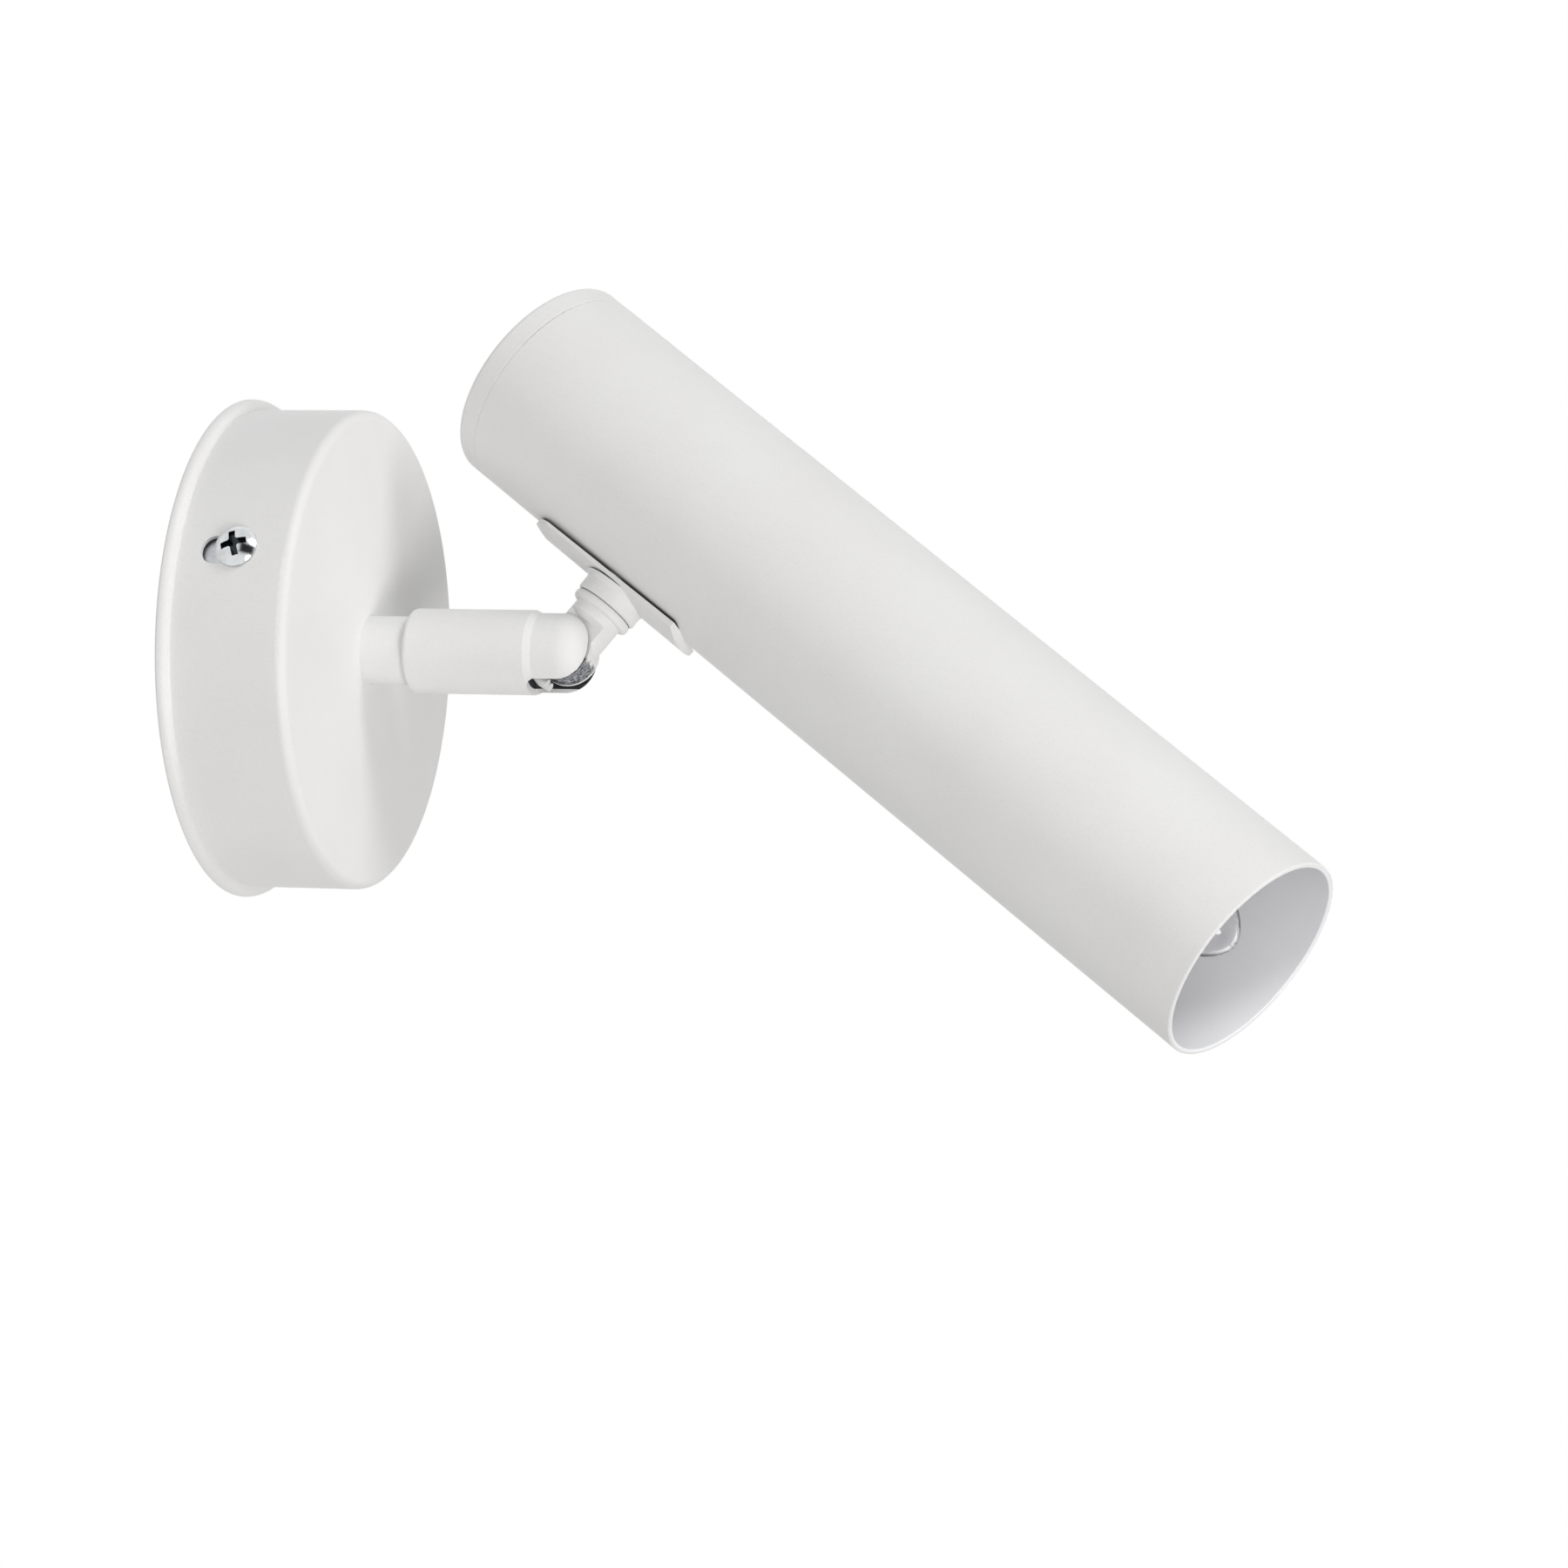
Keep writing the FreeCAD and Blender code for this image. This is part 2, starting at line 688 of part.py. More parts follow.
def make_swivel_spring():
    """A dished spring washer: a cone of sheet between the friction washers."""
    start = spring_start_x
    rise = swivel_spring_height - swivel_spring_thickness
    inner = thread_radius + hole_play
    outer = swivel_washer_radius
    return turned([(start, inner), (start + rise, outer), (start + swivel_spring_height, outer),
                   (start + swivel_spring_thickness, inner)])


def make_knuckle_sleeve():
    body = rounded_rings(tube_x(sleeve_rear_x, cheek_step_x, sleeve_radius), sleeve_rear_round,
                         [(sleeve_rear_x, sleeve_radius)])
    step_end = cheek_step_x + cheek_step_length
    step = turned([(cheek_step_x, 0), (cheek_step_x, sleeve_radius), (step_end, cheek_radius),
                   (step_end, 0)])
    nose_round = min(sleeve_nose_round, sleeve_nose_x - step_end - hole_play, cheek_radius - hole_play)
    nose = rounded_rings(tube_x(step_end, sleeve_nose_x, cheek_radius), nose_round,
                         [(sleeve_nose_x, cheek_radius)])
    body = body.fuse(step).fuse(nose).removeSplitter()
    body = body.cut(tube_x(sleeve_rear_x, spindle_end_x + free_gap, bush_radius))
    body = body.cut(tube_x(sleeve_rear_x, cheek_step_x + slot_end_round, sleeve_wire_bore))
    body = body.cut(cheek_slot())
    outside = V(pivot_x, sleeve_radius, 0)
    body = body.cut(rod(V(pivot_x, -pivot_screw_end, 0), outside, pivot_screw_radius))
    return body.cut(rod(V(pivot_x, pivot_head_seat, 0), outside, pivot_head_radius + hole_play))


def cheek_slot():
    """The cutter for the slot between the cheeks, with rounded corners at its closed end."""
    slot = block((cheek_step_x, sleeve_nose_x + sleeve_radius), (-slot_half_gap, slot_half_gap),
                 (-2 * sleeve_radius, 2 * sleeve_radius))
    corners = [V(cheek_step_x, side * slot_half_gap, 0) for side in (-1, 1)]
    return rounded(slot, slot_end_round, corners)


# Tilt joint
def make_pivot_screw():
    head = tube_x(0, pivot_head_height, pivot_head_radius)
    corner = pivot_socket_flats / math.sqrt(3)
    angles = [math.radians(60 * k) for k in range(6)]
    socket_floor = pivot_head_height - pivot_socket_depth
    socket = prism([V(socket_floor, corner * math.cos(a), corner * math.sin(a)) for a in angles],
                   V(pivot_socket_depth, 0, 0))
    shaft = tube_x(-pivot_head_seat - pivot_screw_end, 0, pivot_screw_radius)
    return placed(head.cut(socket).fuse(shaft), V(pivot_x, pivot_head_seat, 0), V(0, 1, 0))


def make_pivot_washers():
    washers = []
    for side in (-1, 1):
        inside = V(pivot_x, side * (slot_half_gap - pivot_washer_thickness), 0)
        outside = V(pivot_x, side * slot_half_gap, 0)
        washer = rod(inside, outside, pivot_washer_radius)
        washers.append(washer.cut(rod(inside, outside, pivot_screw_radius)))
    return washers


def stand(outline):
    """A solid turned about the head's own Z axis, from (height, radius) points."""
    points = [V(r, 0, z) for z, r in outline]
    face = Part.Face(Part.makePolygon(points + [points[0]]))
    return face.revolve(V(0, 0, 0), V(0, 0, 1), 360)


def make_eye_stem():
    eye = rod(V(0, -eye_half, 0), V(0, eye_half, 0), eye_radius)
    blade = rod(V(0, 0, 0), V(0, 0, shoulder_full), stem_neck_radius)
    flats = block((-2 * stem_neck_radius, 2 * stem_neck_radius), (-eye_half, eye_half), (0, shoulder_full))
    neck = stand([(shoulder_start, 0), (shoulder_start, shoulder_small_radius),
                  (shoulder_full, stem_neck_radius), (stem_flange_start, stem_neck_radius),
                  (stem_flange_start, 0)])
    blade = blade.common(flats)
    flange = rod(V(0, 0, stem_flange_start), V(0, 0, stem_flange_end), stem_flange_radius)
    flange = rounded(flange, stem_flange_round, [V(0, 0, stem_flange_start), V(0, 0, stem_flange_end)])
    thread = rod(V(0, 0, stem_flange_end), V(0, 0, stem_end), thread_radius)
    stem = eye.fuse(blade).fuse(neck).fuse(flange).fuse(thread).removeSplitter()
    bore_end = shoulder_full - stem_side_hole / 2
    stem = stem.cut(rod(V(0, 0, bore_end), V(0, 0, stem_end), stem_bore))
    side = V(-2 * stem_neck_radius, 0, shoulder_full)
    stem = stem.cut(rod(side, V(0, 0, shoulder_full), stem_side_hole))
    stem = stem.cut(rod(V(0, -eye_half, 0), V(0, eye_half, 0), pivot_screw_radius + running_gap))
    return on_head(leaned(stem))


def stem_hole():
    """The cutter for the holes that the stem's thread passes through."""
    return leaned(rod(V(0, 0, 0), V(0, 0, tube_axis_height), thread_radius + hole_play))


# Saddle and lamp tube
def saddle_ends():
    """Where the plate's straight sides end and where its tips are: rear and front."""
    rear = saddle_shift - saddle_half_straight
    front = saddle_shift + saddle_half_straight
    return rear, front, rear - saddle_rear_bulge, front + saddle_front_bulge


def saddle_plan():
    """The saddle's outline seen along the stem: straight sides and bowed ends."""
    rear, front, rear_tip, front_tip = saddle_ends()
    width = saddle_half_width
    corners = [V(rear, -width, 0), V(front, -width, 0), V(front, width, 0), V(rear, width, 0)]
    edges = [Part.LineSegment(corners[0], corners[1]).toShape(),
             Part.Arc(corners[1], V(front_tip, 0, 0), corners[2]).toShape(),
             Part.LineSegment(corners[2], corners[3]).toShape(),
             Part.Arc(corners[3], V(rear_tip, 0, 0), corners[0]).toShape()]
    return Part.Face(Part.Wire(edges)).extrude(V(0, 0, tube_axis_height))


def saddle_side():
    """The saddle seen from the side: a flat underside that rises in an arc to each tip."""
    _, _, rear_tip, front_tip = saddle_ends()
    y = -tube_radius
    front_edge = tube_bottom - saddle_front_edge
    rear_edge = tube_bottom - saddle_rear_edge
    low_front = V(front_tip - saddle_front_taper, y, saddle_bottom)
    low_rear = V(rear_tip + saddle_rear_taper, y, saddle_bottom)
    high_front = V(front_tip, y, front_edge)
    high_rear = V(rear_tip, y, rear_edge)
    middle_front = (low_front + high_front) / 2 - V(0, 0, (front_edge - saddle_bottom) / 4)
    middle_rear = (low_rear + high_rear) / 2 - V(0, 0, (rear_edge - saddle_bottom) / 4)
    top_front = V(front_tip, y, tube_axis_height)
    top_rear = V(rear_tip, y, tube_axis_height)
    edges = [Part.LineSegment(low_rear, low_front).toShape(),
             Part.Arc(low_front, middle_front, high_front).toShape(),
             Part.LineSegment(high_front, top_front).toShape(),
             Part.LineSegment(top_front, top_rear).toShape(),
             Part.LineSegment(top_rear, high_rear).toShape(),
             Part.Arc(high_rear, middle_rear, low_rear).toShape()]
    return Part.Face(Part.Wire(edges)).extrude(V(0, 2 * tube_radius, 0))


def make_saddle():
    _, _, rear_tip, front_tip = saddle_ends()
    outer = tube_x(rear_tip, front_tip, saddle_outer_radius, 0, saddle_bottom + saddle_outer_radius)
    plate = outer.common(saddle_plan()).common(saddle_side())
    flare_end = saddle_bottom + saddle_flare_length
    flare_start = saddle_bottom - saddle_flare_length / 2
    neck = stand([(stem_flange_end, 0), (stem_flange_end, saddle_neck_radius - saddle_neck_chamfer),
                  (stem_flange_end + saddle_neck_chamfer, saddle_neck_radius),
                  (flare_start, saddle_neck_radius), (flare_end, saddle_flare_radius), (flare_end, 0)])
    plate = plate.fuse(leaned(neck))
    inner_axis = tube_bottom + saddle_seat_bite + saddle_inner_radius
    seat = tube_x(2 * rear_tip, 2 * front_tip, saddle_inner_radius, 0, inner_axis)
    seat.rotate(V(0, 0, tube_bottom), V(0, 1, 0), -saddle_seat_slope)
    plate = plate.cut(seat)
    plate = plate.cut(tube_x(2 * rear_tip, 2 * front_tip, tube_radius, 0, tube_axis_height))
    return on_head(plate.cut(stem_hole()).removeSplitter())


def make_lamp_tube():
    rear = -tube_rear + cap_thickness
    body = tube_x(rear, tube_mouth, tube_radius, tube_inner_radius, tube_axis_height)
    body = rounded_rings(body, tube_edge_round, [(tube_mouth, tube_radius), (tube_mouth, tube_inner_radius)],
                         tube_axis_height)
    body = rounded_rings(body, seam_chamfer, [(rear, tube_radius)], tube_axis_height)
    return on_head(body.cut(stem_hole()))


def make_rear_cap():
    outside = -tube_rear
    seam = outside + cap_thickness
    spigot_end = seam + cap_spigot_length
    cap = tube_x(outside, seam, tube_radius, 0, tube_axis_height)
    cap = rounded_rings(cap, cap_edge_round, [(outside, tube_radius)], tube_axis_height)
    cap = rounded_rings(cap, seam_chamfer, [(seam, tube_radius)], tube_axis_height)
    cap = cap.fuse(tube_x(seam, spigot_end, tube_inner_radius, 0, tube_axis_height))
    hollow = tube_x(outside + cap_face_wall, spigot_end, tube_inner_radius - cap_spigot_wall, 0,
                    tube_axis_height)
    return on_head(cap.cut(hollow))


# Fastening inside the tube
def make_shaped_washer():
    washer = leaned(rod(V(0, 0, 0), V(0, 0, washer_top), shaped_washer_radius))
    washer = washer.common(tube_x(-tube_radius, tube_radius, tube_inner_radius, 0, tube_axis_height))
    return on_head(washer.cut(stem_hole()))


def make_stem_nut():
    nut = hexagon(thin_nut_flats, 0, thin_nut_height, thread_radius)
    return on_head(leaned(placed(nut, V(0, 0, bracket_top_face), V(0, 0, 1))))


def make_holder_bracket():
    """A foot square to the stem and an upright square to the tube, bent from one strip."""
    rear_face = bracket_face - bracket_thickness
    top = tube_axis_height + bracket_top_margin
    across = (-bracket_half_width, bracket_half_width)
    foot = leaned(block((-bracket_tail, 2 * bracket_face), across, (washer_top, bracket_top_face)))
    foot = foot.common(block((-tube_rear, bracket_face), across, (0, top)))
    lean = math.radians(stem_lean)
    bend = (washer_top + bracket_face * math.sin(lean)) / math.cos(lean)
    upright = block((rear_face, bracket_face), across, (bend, top))
    bracket = foot.fuse(upright).removeSplitter()
    bracket = rounded(bracket, bracket_bend_round, [V(bracket_face, 0, bend)])
    bracket = bracket.cut(tube_x(rear_face, bracket_face, thread_radius, 0, tube_axis_height))
    return on_head(bracket.cut(stem_hole()))


def make_holder_nipple():
    start = bracket_face - bracket_thickness - nipple_tail
    return on_head(tube_x(start, bracket_face + nipple_reach, thread_radius, nipple_bore,
                          tube_axis_height))


def make_holder_nut():
    end = bracket_face - bracket_thickness
    return on_head(hexagon(thin_nut_flats, end - thin_nut_height, end, thread_radius,
                           tube_axis_height))


# Lampholder
def make_holder_body():
    step = holder_end_x - holder_front_length
    taper_end = bracket_face + holder_rear_taper
    body = turned([(bracket_face, 0), (bracket_face, holder_rear_radius), (taper_end, holder_radius),
                   (step, holder_radius), (step, holder_front_radius), (holder_end_x, holder_front_radius),
                   (holder_end_x, 0)], tube_axis_height)
    body = rounded_rings(body, holder_edge_round,
                         [(holder_end_x, holder_front_radius), (step, holder_radius)], tube_axis_height)
    body = body.cut(tube_x(holder_floor_x, holder_end_x, holder_thread_radius, 0, tube_axis_height))
    body = body.cut(tube_x(bracket_face, bracket_face + nipple_reach, thread_radius, 0,
                           tube_axis_height))
    for side in (-1, 1):
        hole = tube_x(bracket_face, bracket_face + holder_screw_depth, holder_screw_radius, 0,
                      tube_axis_height)
        hole.translate(V(0, side * holder_screw_spread, 0))
        body = body.cut(hole)
    return on_head(body)


def make_holder_thread():
    start = holder_end_x - holder_thread_length - holder_thread_inset
    inner = holder_thread_radius - holder_thread_wall
    return on_head(tube_x(start, start + holder_thread_length, holder_thread_radius, inner,
                          tube_axis_height))


def make_holder_screws():
    screw = slotted_screw(holder_screw_radius, holder_screw_depth, holder_screw_head_radius,
                          holder_screw_head_height)
    screws = []
    for side in (-1, 1):
        place = V(bracket_face, side * holder_screw_spread, tube_axis_height)
        screws.append(on_head(placed(screw, place, V(-1, 0, 0))))
    return screws


def make_holder_contact():
    """A bent strip: a foot on the holder's floor and a sprung tongue up to the bulb's contact."""
    floor = holder_floor_x
    top = bulb_base_x
    sheet = contact_thickness
    low = -contact_foot / 2
    high = contact_foot / 2
    profile = [(floor, low), (floor, high), (floor + sheet, high), (floor + sheet, low + 2 * sheet),
               (top - sheet, low / 2), (top - sheet, high / 2), (top, high / 2), (top, low / 2 - sheet),
               (floor + 2 * sheet, low)]
    points = [V(x, -contact_width / 2, tube_axis_height + z) for x, z in profile]
    return on_head(prism(points, V(0, contact_width, 0)))


# Bulb
def make_bulb_contact():
    return on_head(tube_x(bulb_base_x, bulb_base_x + bulb_contact_height, bulb_contact_radius, 0,
                          tube_axis_height))


def make_bulb_insulator():
    start = bulb_base_x + bulb_contact_height
    return on_head(turned([(start, 0), (start, bulb_contact_radius), (bulb_cap_x, bulb_insulator_radius),
                           (bulb_cap_x, 0)], tube_axis_height))


def make_bulb_cap():
    """The screw cap, its thread drawn as rounded ridges at the thread's pitch."""
    outline = [(bulb_cap_x, 0), (bulb_cap_x, bulb_insulator_radius)]
    start = bulb_cap_x + bulb_cap_shoulder
    for turn in range(bulb_thread_turns):
        station = start + turn * bulb_thread_pitch
        outline.append((station, bulb_cap_core))
        outline.append((station + bulb_thread_pitch / 2, bulb_cap_radius))
    outline.append((start + bulb_thread_turns * bulb_thread_pitch, bulb_cap_core))
    outline.append((bulb_cap_end_x, bulb_cap_radius))
    outline.append((bulb_cap_end_x, 0))
    cap = turned(outline, tube_axis_height)
    neck = bulb_neck_radius - bulb_glass_wall
    hollow = tube_x(bulb_glass_x, bulb_cap_end_x, bulb_neck_radius, 0, tube_axis_height)
    hollow = hollow.fuse(tube_x(start, bulb_glass_x, neck, 0, tube_axis_height))
    return on_head(cap.cut(hollow))


def glass_profile(wall):
    """The candle's outline from neck to tip, as a smooth curve set in by a wall thickness."""
    length = bulb_tip_x - bulb_glass_x
    swell = bulb_glass_radius - bulb_neck_radius
    radii = [(share, bulb_neck_radius + swell * size) for share, size in glass_rear]
    radii += [(share, bulb_glass_radius * size) for share, size in glass_front]
    points = []
    for share, radius in radii:
        inset = wall * min(1, glass_tip_fade * (1 - share))
        points.append(V(bulb_glass_x + (length - wall) * share, 0, tube_axis_height + radius - inset))
    points.append(V(bulb_tip_x - wall, 0, tube_axis_height))
    curve = Part.BSplineCurve()
    curve.interpolate(points)
    base = V(points[0].x, 0, tube_axis_height)
    edges = [curve.toShape(), Part.LineSegment(points[-1], base).toShape(),
             Part.LineSegment(base, points[0]).toShape()]
    face = Part.Face(Part.Wire(edges))
    return face.revolve(V(0, 0, tube_axis_height), V(1, 0, 0), 360)


def make_bulb_glass():
    return on_head(glass_profile(0).cut(glass_profile(bulb_glass_wall)))


def make_bulb_mount():
    """The glass foot inside the bulb: a tube from the cap that carries the filament's wires."""
    end = bulb_glass_x + bulb_mount_length
    neck = bulb_neck_radius - bulb_glass_wall
    shoulder = bulb_glass_x + neck / 2
    foot = turned([(bulb_glass_x, 0), (bulb_glass_x, neck), (shoulder, bulb_mount_radius),
                   (end, bulb_mount_radius / 2), (end, 0)], tube_axis_height)
    return on_head(foot).cut(make_filament())


def make_filament():
    """Two lead wires and the arched filament, as one bent wire."""
    foot = bulb_glass_x + bulb_mount_length
    top = foot + filament_rise
    half = filament_half_span
    low = foot - filament_bow
    knee = foot + filament_bow
    route = [(low, lead_inset), (knee, lead_spread), (top, half), (top + filament_bow, 0), (top, -half),
             (knee, -lead_spread), (low, -lead_inset)]
    points = [V(x, y, tube_axis_height) for x, y in route]
    return on_head(wire_run(points, filament_wire))


# Wires
def make_canopy_wires():
    """From the spindle's front end, back through the canopy and up to the terminal block."""
    wires = []
    entry = block_middle - insert_length / 2
    for side, y in ((-1, -pole_pitch), (1, 0)):
        lane = side * wire_half_pitch
        points = [V(spindle_end_x, lane, 0), V(spindle_rear_x, lane, 0),
                  V(spindle_rear_x - canopy_wire_back, lane + (y - lane) / 3, canopy_wire_lift),
                  V(pole_x + wire_tuck, y - lane / 2, block_bottom - canopy_wire_turn),
                  V(pole_x, y, block_bottom - canopy_wire_rise), V(pole_x, y, entry + wire_clamp_depth)]
        wires.append(wire_run(points, wire_radius))
    return wires


def make_sleeve_wires():
    """From the spindle's front end, through the sleeve and out at the slot beside the eye."""
    start = spindle_end_x + free_gap
    drop = -eye_radius - wire_radius - free_gap
    wires = []
    for side in (-1, 1):
        lane = side * wire_half_pitch
        points = [V(start, lane, 0), V(start + sleeve_wire_lead, lane, -sleeve_wire_dip),
                  V(cheek_step_x - sleeve_wire_near[0], lane, -sleeve_wire_near[1]),
                  V(cheek_step_x + sleeve_wire_exit[0], lane, -sleeve_wire_exit[1]),
                  V(cheek_step_x + sleeve_wire_drop[0], lane, -sleeve_wire_drop[1]),
                  V(pivot_x - sleeve_wire_end, lane, drop)]
        wires.append(wire_run(points, wire_radius))
    return wires


def make_head_wires():
    """Up the stem's bore and along to the lampholder's terminals."""
    wires = []
    end_x = bracket_face - holder_screw_head_height
    for side in (-1, 1):
        lane = side * wire_half_pitch
        points = [stem_line(shoulder_full + wire_tuck, lane), stem_line(stem_end + wire_tuck, lane)]
        points += [V(end_x * share, side * y, tube_axis_height - drop)
                   for share, y, drop in head_wire_bends]
        points.append(V(end_x, side * holder_screw_spread, tube_axis_height))
        wires.append(on_head(wire_run(points, wire_radius)))
    return wires


makers = {
    "canopy": make_canopy,
    "mounting_strap": make_mounting_strap,
    "side_screws": make_side_screws,
    "terminal_block": make_terminal_block,
    "terminal_inserts": make_terminal_inserts,
    "terminal_screws": make_terminal_screws,
    "terminal_fixing_screw": make_terminal_fixing_screw,
    "earth_screw": make_earth_screw,
    "earth_washer": make_earth_washer,
    "canopy_wires": make_canopy_wires,
    "neck_collar": make_neck_collar,
    "stop_pin": make_stop_pin,
    "swivel_spindle": make_swivel_spindle,
    "star_washer": make_star_washer,
    "canopy_nut": make_canopy_nut,
    "head_washer": make_head_washer,
    "retaining_bush": make_retaining_bush,
    "swivel_washer": make_swivel_washer,
    "swivel_spring": make_swivel_spring,
    "knuckle_sleeve": make_knuckle_sleeve,
    "pivot_screw": make_pivot_screw,
    "pivot_washers": make_pivot_washers,
    "sleeve_wires": make_sleeve_wires,
    "eye_stem": make_eye_stem,
    "saddle": make_saddle,
    "lamp_tube": make_lamp_tube,
    "rear_cap": make_rear_cap,
    "shaped_washer": make_shaped_washer,
    "stem_nut": make_stem_nut,
    "holder_bracket": make_holder_bracket,
    "holder_nipple": make_holder_nipple,
    "holder_nut": make_holder_nut,
    "holder_body": make_holder_body,
    "holder_thread": make_holder_thread,
    "holder_screws": make_holder_screws,
    "holder_contact": make_holder_contact,
    "bulb_contact": make_bulb_contact,
    "bulb_insulator": make_bulb_insulator,
    "bulb_cap": make_bulb_cap,
    "bulb_glass": make_bulb_glass,
    "bulb_mount": make_bulb_mount,
    "filament": make_filament,
    "head_wires": make_head_wires,
}

os.makedirs("parts", exist_ok=True)
for name, maker in makers.items():
    made = maker()
    shape = Part.makeCompound(made) if isinstance(made, list) else made
    shape.exportStep("parts/" + name + ".step")
    print(name, "solids", len(shape.Solids), "volume", round(shape.Volume, 2), "valid", shape.isValid())
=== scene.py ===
# Pivoting spotlight wall light: finishes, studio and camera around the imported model.
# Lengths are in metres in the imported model's own frame: +X out of the wall, +Z up.
# Angles in degrees unless a note says otherwise.
import bpy
import json
import math
from mathutils import Matrix, Vector

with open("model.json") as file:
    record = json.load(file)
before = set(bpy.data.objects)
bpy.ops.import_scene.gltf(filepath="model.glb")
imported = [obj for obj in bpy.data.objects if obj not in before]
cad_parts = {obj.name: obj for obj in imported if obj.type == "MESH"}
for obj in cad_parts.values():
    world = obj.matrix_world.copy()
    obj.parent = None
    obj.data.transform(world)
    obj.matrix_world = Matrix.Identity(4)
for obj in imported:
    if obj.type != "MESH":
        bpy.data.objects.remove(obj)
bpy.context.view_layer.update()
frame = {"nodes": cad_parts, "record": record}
nodes = frame["nodes"]
joints = {joint["name"]: joint for joint in frame["record"]["behaviour"]["joints"]}
print("frame loaded:", len(nodes), "pieces")

white = (1, 1, 1, 1)
fullRange = (0.0, 1.0)
# nearly all of a noise texture's values lie between these two
noiseRange = (0.3, 0.7)


# Small node helpers
def startMaterial(name):
    material = bpy.data.materials.new(name)
    material.use_nodes = True
    tree = material.node_tree
    tree.nodes.clear()
    output = tree.nodes.new("ShaderNodeOutputMaterial")
    shader = tree.nodes.new("ShaderNodeBsdfPrincipled")
    tree.links.new(shader.outputs["BSDF"], output.inputs["Surface"])
    return material, tree, shader


def setSocket(tree, socket, value):
    if isinstance(value, bpy.types.NodeSocket):
        tree.links.new(value, socket)
    else:
        socket.default_value = value


def calc(tree, operation, *values):
    node = tree.nodes.new("ShaderNodeMath")
    node.operation = operation
    for socket, value in zip(node.inputs, values):
        setSocket(tree, socket, value)
    return node.outputs["Value"]


def sumOfSquares(tree, first, second):
    return calc(tree, "ADD", calc(tree, "MULTIPLY", first, first),
                calc(tree, "MULTIPLY", second, second))


def grain(tree, size, detail=2, stretch=(1, 1, 1)):
    # noise whose lumps are about this many metres across, on the piece's own coordinates
    coords = tree.nodes.new("ShaderNodeTexCoord")
    mapping = tree.nodes.new("ShaderNodeMapping")
    mapping.inputs["Scale"].default_value = stretch
    texture = tree.nodes.new("ShaderNodeTexNoise")
    texture.inputs["Scale"].default_value = 1 / size
    texture.inputs["Detail"].default_value = detail
    tree.links.new(coords.outputs["Object"], mapping.inputs["Vector"])
    tree.links.new(mapping.outputs["Vector"], texture.inputs["Vector"])
    return texture.outputs["Fac"]


def tintBetween(tree, value, dark, light, span=noiseRange):
    ramp = tree.nodes.new("ShaderNodeValToRGB")
    for stop, position, tint in zip(ramp.color_ramp.elements, span, (dark, light)):
        stop.position = position
        stop.color = (*tint, 1)
    tree.links.new(value, ramp.inputs["Fac"])
    return ramp.outputs["Color"]


def levelBetween(tree, value, least, most, span=noiseRange):
    spread = tree.nodes.new("ShaderNodeMapRange")
    spread.inputs["From Min"].default_value = span[0]
    spread.inputs["From Max"].default_value = span[1]
    spread.inputs["To Min"].default_value = least
    spread.inputs["To Max"].default_value = most
    tree.links.new(value, spread.inputs["Value"])
    return spread.outputs["Result"]


def mixColours(tree, share, first, second, blend="MIX"):
    mix = tree.nodes.new("ShaderNodeMix")
    mix.data_type = "RGBA"
    mix.blend_type = blend
    for name, value in (("Factor", share), ("A", first), ("B", second)):
        setSocket(tree, mix.inputs[name], value)
    return mix.outputs["Result"]


def roughen(tree, shader, layers):
    # each layer is (height noise, depth in metres, strength), laid one over the other
    normal = None
    for height, depth, strength in layers:
        bump = tree.nodes.new("ShaderNodeBump")
        bump.inputs["Distance"].default_value = depth
        bump.inputs["Strength"].default_value = strength
        tree.links.new(height, bump.inputs["Height"])
        if normal is not None:
            tree.links.new(normal, bump.inputs["Normal"])
        normal = bump.outputs["Normal"]
    tree.links.new(normal, shader.inputs["Normal"])


def splitPlace(tree, place):
    parts = tree.nodes.new("ShaderNodeSeparateXYZ")
    tree.links.new(place, parts.inputs["Vector"])
    return parts.outputs["X"], parts.outputs["Y"], parts.outputs["Z"]


def awayFromPivot(tree):
    # x, y and z of the shaded point measured from the tilt joint, in the rest pose
    coords = tree.nodes.new("ShaderNodeTexCoord")
    away = tree.nodes.new("ShaderNodeVectorMath")
    away.operation = "SUBTRACT"
    away.inputs[1].default_value = joints["tilt"]["pos_m"]
    tree.links.new(coords.outputs["Object"], away.inputs[0])
    return splitPlace(tree, away.outputs["Vector"])


# White powder coat: fine matt grain over a slight orange peel, a little warmer in deeper patches.
# closed and open are the shares of open surroundings seen from a gap and from a free surface.
# the painted crevice shade fades out between the closed and open shares
powderCoat = {
    "light": (0.852, 0.852, 0.85), "deep": (0.828, 0.824, 0.818), "cloud": 0.022,
    "grain": 0.00028, "grainDepth": 0.000035, "grainStrength": 0.3,
    "peel": 0.0016, "peelDepth": 0.00007, "peelStrength": 0.25,
    "fleck": (0.95, 0.95, 0.95), "fleckSpan": (0.3, 0.5), "roughness": (0.42, 0.56), "shine": 0.32,
    # creviceShadeTone is the near-black of the painted shade laid in narrow gaps between pieces
    "creviceReach": 0.0013, "creviceShadeTone": (0.02, 0.02, 0.022, 1), "creviceSamples": 8,
    "closed": 0.1, "open": 0.34,
}
# The saddle is coated more coarsely, and both its layers stand out this many times more
saddleCoarseness = 2


def paintCreviceShade(tree, colour, shadeEndsAt):
    # painted shade: narrow gaps between pieces, found by ambient occlusion, are darkened towards
    # near-black
    near = tree.nodes.new("ShaderNodeAmbientOcclusion")
    near.samples = powderCoat["creviceSamples"]
    near.inputs["Distance"].default_value = powderCoat["creviceReach"]
    shadeShare = levelBetween(tree, near.outputs["AO"], 1.0, 0.0, (powderCoat["closed"], shadeEndsAt))
    return mixColours(tree, shadeShare, colour, powderCoat["creviceShadeTone"])
